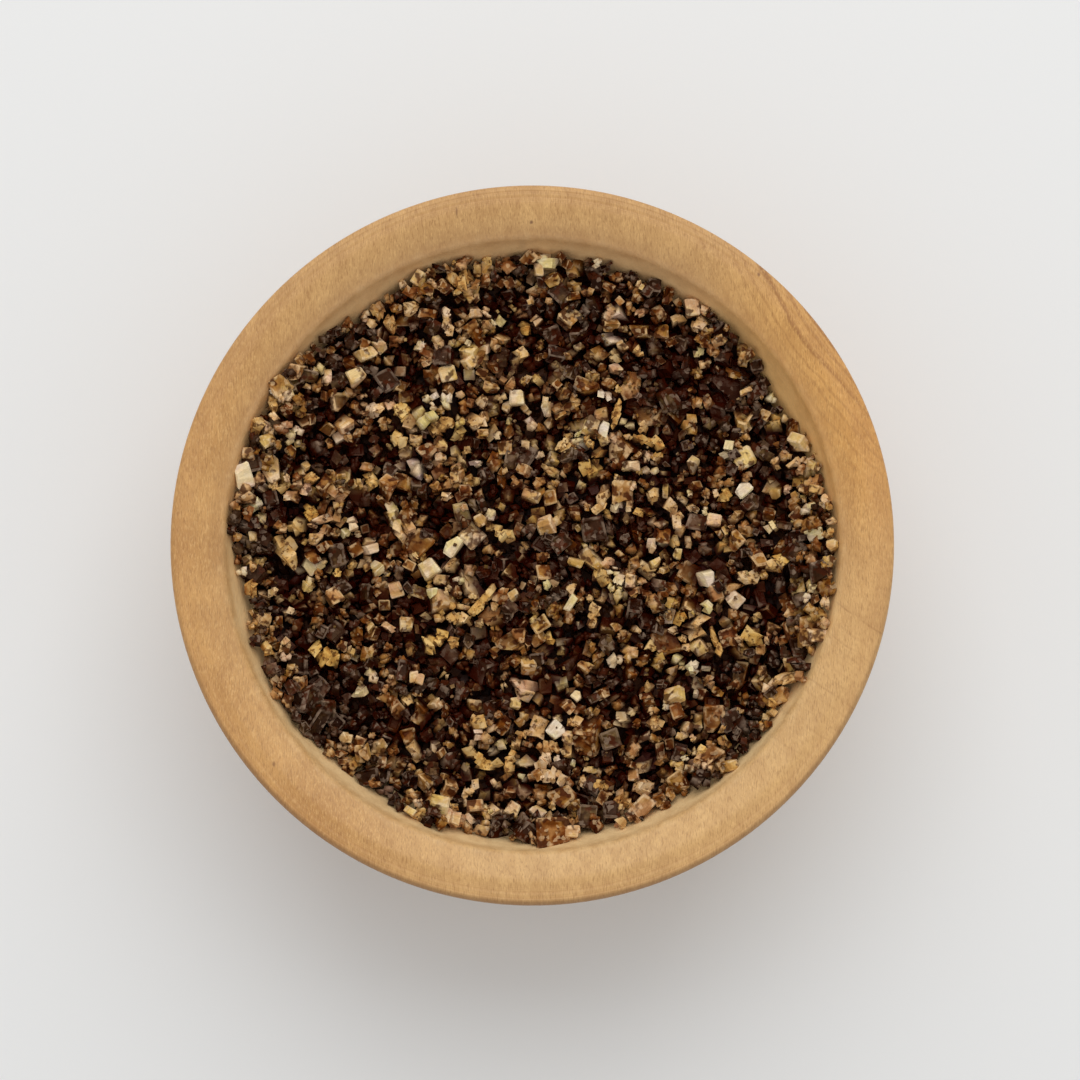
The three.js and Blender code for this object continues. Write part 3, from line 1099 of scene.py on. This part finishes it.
shape_dice = random.Random(21)
hollow_shapes = shape_box(
    "hollow_crystal",
    [grain_shape(shape_dice, hollow_cube, breaks=1 + i % 2) for i in range(10)]
    + [grain_shape(shape_dice, hollow_cube, breaks=1, grown=2) for _ in range(6)]
    + [
        grain_shape(shape_dice, rough_block, i % 2, 4 + i % 4, spread=0.34, twist=0.9, worn=i % 3 > 0)
        for i in range(28)
    ],
)
block_shapes = shape_box(
    "block_crystal",
    [grain_shape(shape_dice, full_cube, breaks=1 + i % 3) for i in range(8)]
    + [grain_shape(shape_dice, full_cube, breaks=1, grown=2) for _ in range(6)]
    + [
        grain_shape(shape_dice, rough_block, 1, 3 + i % 4, spread=0.32, twist=0.9, worn=i % 3 > 0)
        for i in range(26)
    ],
)
crystal_kinds = {
    "smoky": (hollow_shapes, {
        "stops": [
            (0.01, 0.001, 0.0003), (0.02, 0.0046, 0.0016), (0.044, 0.018, 0.0088), (0.19, 0.112, 0.067),
        ],
        "edge": (0.4, 0.285, 0.2), "edge_wear_and_light_share": 0.38, "glint_share": 0.36,
        "pit_from": 0.53, "pit_share": 0.92, "roughness": 0.24, "gloss": (1.0, 0.7, 0.48),
    }),
    "brown": (hollow_shapes, {
        "stops": [
            (0.036, 0.0041, 0.0005), (0.185, 0.055, 0.0098), (0.43, 0.217, 0.078), (0.7, 0.475, 0.253),
        ],
        "edge": (0.8, 0.56, 0.3), "edge_wear_and_light_share": 0.5, "glint_share": 0.42,
        "pit_from": 0.49, "pit_share": 0.92, "roughness": 0.3, "gloss": (1.0, 0.6, 0.34),
    }),
    "tan": (block_shapes, {
        "stops": [(0.26, 0.098, 0.026), (0.505, 0.28, 0.118), (0.735, 0.49, 0.268), (0.82, 0.62, 0.415)],
        "edge": (0.86, 0.66, 0.42), "edge_wear_and_light_share": 0.45, "glint_share": 0.35,
        "pit_from": 0.53, "pit_share": 0.85, "roughness": 0.36, "gloss": (1.0, 0.8, 0.6),
    }),
    "pale": (block_shapes, {
        "stops": [(0.49, 0.31, 0.16), (0.7, 0.52, 0.34), (0.8, 0.65, 0.49), (0.86, 0.75, 0.61)],
        "edge": (0.88, 0.75, 0.55), "edge_wear_and_light_share": 0.3, "glint_share": 0.25,
        "pit_from": 0.6, "pit_share": 0.45, "roughness": 0.36, "gloss": (1.0, 0.9, 0.8),
    }),
}
crystal_seed = 100
lie_dice = random.Random(8)
for number, (kind, (shapes, look)) in enumerate(crystal_kinds.items()):
    grains = [lie(g, lie_dice) for g in heap.grains if g["kind"] == kind]
    material = crystal_finish(kind + " salt", **look)
    crystals = strew(kind + "_crystals", grains, shapes, crystal_seed + number, material)
    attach(crystals, "root")
    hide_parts("salt")


# ---- The mushroom bits ----
# Dried mushroom, chopped small: crumbly, porous pieces from cream to golden brown, some of them
# slivers of stem, lying among the crystals.

bit_seed = 140
strip_slimness = 1.45
bit_stops = [(0, (0.38, 0.145, 0.026)), (0.45, (0.70, 0.43, 0.155)), (1, (0.86, 0.65, 0.39))]
cream_tint = (1.0, 0.98, 1.1)
golden_tint = (1.0, 0.92, 0.58)
pore_brown = (0.12, 0.035, 0.005)


def bit_shape(dice, lumps, slimness):
    """A torn bit of mushroom: rough blocks grown together in a row, fitted into a unit box."""
    grain = Grain()
    for number in range(lumps):
        part = broken_part(dice, rough_block, breaks=2)
        size = Vector([dice.uniform(0.6, 1.1), dice.uniform(0.6, 1.0), dice.uniform(0.6, 1.0)])
        tips = (dice.uniform(-0.6, 0.6), dice.uniform(-0.6, 0.6), dice.uniform(-1.5, 1.5))
        turn = Euler(tips).to_matrix()
        along = slimness * (number / max(lumps - 1, 1) - 0.5)
        shift = Vector((along, dice.uniform(-0.25, 0.25), dice.uniform(-0.2, 0.2)))
        points = [turn @ (vert.co * size) + shift for vert in part.verts]
        part_tone = dice.random()
        grain.graft(part, points, [dice.random() for _ in part.verts], part_tone)
    grain.fit_to_unit()
    return grain.mesh()


def bit_finish():
    """Dried mushroom: cream to golden brown, fibrous and pitted, with painted shade towards its underside
    and deep in the heap.
    """
    material, tree, shader = new_finish("dried mushroom", roughness=0.7, specular=0.15)
    tone = attribute(tree, "tone")
    place = put(tree, "ShaderNodeTexCoord").outputs["Object"]
    stain = cloud(place, 0.9, 3, 0.6)
    pores = cloud(place, 0.6, 3, 0.62)
    mixed = plus(times(tone, 0.45), times(attribute(tree, "part"), 0.25))
    mixed = plus(mixed, fade(stain, 0.3, 0.7, -0.05, 0.45))
    tint = blend(another_share(tone, 9.7), cream_tint, golden_tint)
    tinted = blend(1.0, ramp(mixed, bit_stops), tint, "MULTIPLY")
    pitted = blend(fade(pores, 0.53, 0.62, 0, 0.85), tinted, pore_brown)
    shaded = brighten(pitted, fade(attribute(tree, "rim"), 0.0, 1.0, 0.75, 1.08))
    paint_shade_below(shader, shaded, shallow=0.1 * MM, deep=1.3 * MM)
    bump(shader, pores, depth=0.12 * MM, strength=0.9)
    return material


bit_material = bit_finish()
short_shapes = shape_box("short_bit", [bit_shape(shape_dice, 3 + i % 3, 0.5) for i in range(24)])
long_shapes = shape_box("long_bit", [bit_shape(shape_dice, 5 + i % 3, 1.7) for i in range(24)])
bit_grains = [lie(g, lie_dice) for g in heap.grains if g["kind"] == "bit"]
long_grains = [g for g in bit_grains if g["span"][0] > strip_slimness * g["span"][1]]
short_grains = [g for g in bit_grains if g not in long_grains]
for name, grains, shapes in (
    ("mushroom_bits", short_grains, short_shapes),
    ("mushroom_strips", long_grains, long_shapes),
):
    bits = strew(name, grains, shapes, bit_seed, bit_material)
    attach(bits, "root")
    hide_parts("salt")


# ---- Crumbs ----
# Splinters of salt and mushroom, finer than a millimetre, which lie on and between the grains.
# They are rough blocks, rolled down into the gaps like the grains before them.

crumb_count = 900
crumb_seed = 160
crumb_edge = 31 * MM


def sprinkle(seed, count):
    dice = random.Random(seed)
    crumbs = []
    while len(crumbs) < count:
        out = crumb_edge * sqrt(dice.random())
        turn = dice.uniform(0, 2 * pi)
        x, y = out * cos(turn), out * sin(turn)
        size = dice.uniform(0.16, 0.42)
        radius = 0.4 * size * MM
        x, y, z = heap.roll(dice, x, y, radius, tries=3, step=0.3 * MM)
        if z - radius > surface_at(x, y) + 0.3 * MM or not heap.fits(x, y, z, radius):
            continue
        span = [size * dice.uniform(0.6, 1.3) for _ in range(3)]
        crumbs.append({"x": x, "y": y, "z": z, "span": span, "turn": None, "flat": False})
    return crumbs


crumb_finish = crystal_finish(
    "salt crumbs",
    stops=[(0.025, 0.010, 0.004), (0.085, 0.04, 0.015), (0.22, 0.125, 0.052), (0.5, 0.35, 0.18)],
    edge=(0.5, 0.34, 0.17), edge_wear_and_light_share=0.2, glint_share=0.3,
    pit_from=0.6, pit_share=0.92, roughness=0.4, gloss=(1.0, 0.8, 0.6),
)
crumb_shapes = shape_box("crumb", [grain_shape(shape_dice, rough_block) for _ in range(16)])
crumb_grains = [lie(g, lie_dice) for g in sprinkle(33, crumb_count)]
crumbs = strew("salt_crumbs", crumb_grains, crumb_shapes, crumb_seed, crumb_finish)
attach(crumbs, "root")
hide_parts("salt")


# ---- Floor, light and camera ----
# A plain pale floor under an even white room light and one large square window light from the
# back. The bowl is seen almost straight from above.

floor_half = 3.0
floor_corners = [(x * floor_half, y * floor_half, 0) for x, y in ((-1, -1), (1, -1), (1, 1), (-1, 1))]
floor_mesh = bpy.data.meshes.new("floor")
floor_mesh.from_pydata(floor_corners, [], [(0, 1, 2, 3)])
floor_finish, _, floor_shader = new_finish("pale floor", roughness=0.6)
floor_shader.inputs["Base Color"].default_value = (0.80, 0.805, 0.80, 1)
floor_piece = new_piece("floor", floor_mesh, floor_finish)

scene = bpy.context.scene
scene.view_settings.view_transform = "Standard"
room_light = 0.665
world = bpy.data.worlds.new("soft room")
world.use_nodes = True
world.node_tree.nodes["Background"].inputs["Color"].default_value = (1.0, 1.0, 1.0, 1)
world.node_tree.nodes["Background"].inputs["Strength"].default_value = room_light
scene.world = world

window = bpy.data.lights.new("window", "AREA")
window.shape = "SQUARE"
window.size = 1.0
window.energy = 5.7
window_way = Vector((0.045, 0.641, 0.766))
window_lamp = bpy.data.objects.new("window", window)
window_lamp.location = window_way
window_lamp.rotation_euler = (-window_way).to_track_quat("-Z", "Y").to_euler()
scene.collection.objects.link(window_lamp)

camera_tilt = radians(5.7)
camera_distance = 0.42
camera_aim = Vector((0.8 * MM, 0.19 * MM, bowl_height))
seen_width = 111.78 * MM
sensor_width = 36.0
camera_data = bpy.data.cameras.new("camera")
camera_data.sensor_width = sensor_width
camera_data.lens = sensor_width * camera_distance / seen_width
camera = bpy.data.objects.new("camera", camera_data)
camera.location = camera_aim + camera_distance * Vector((0, -sin(camera_tilt), cos(camera_tilt)))
camera.rotation_euler = (camera_tilt, 0, 0)
scene.collection.objects.link(camera)
scene.camera = camera
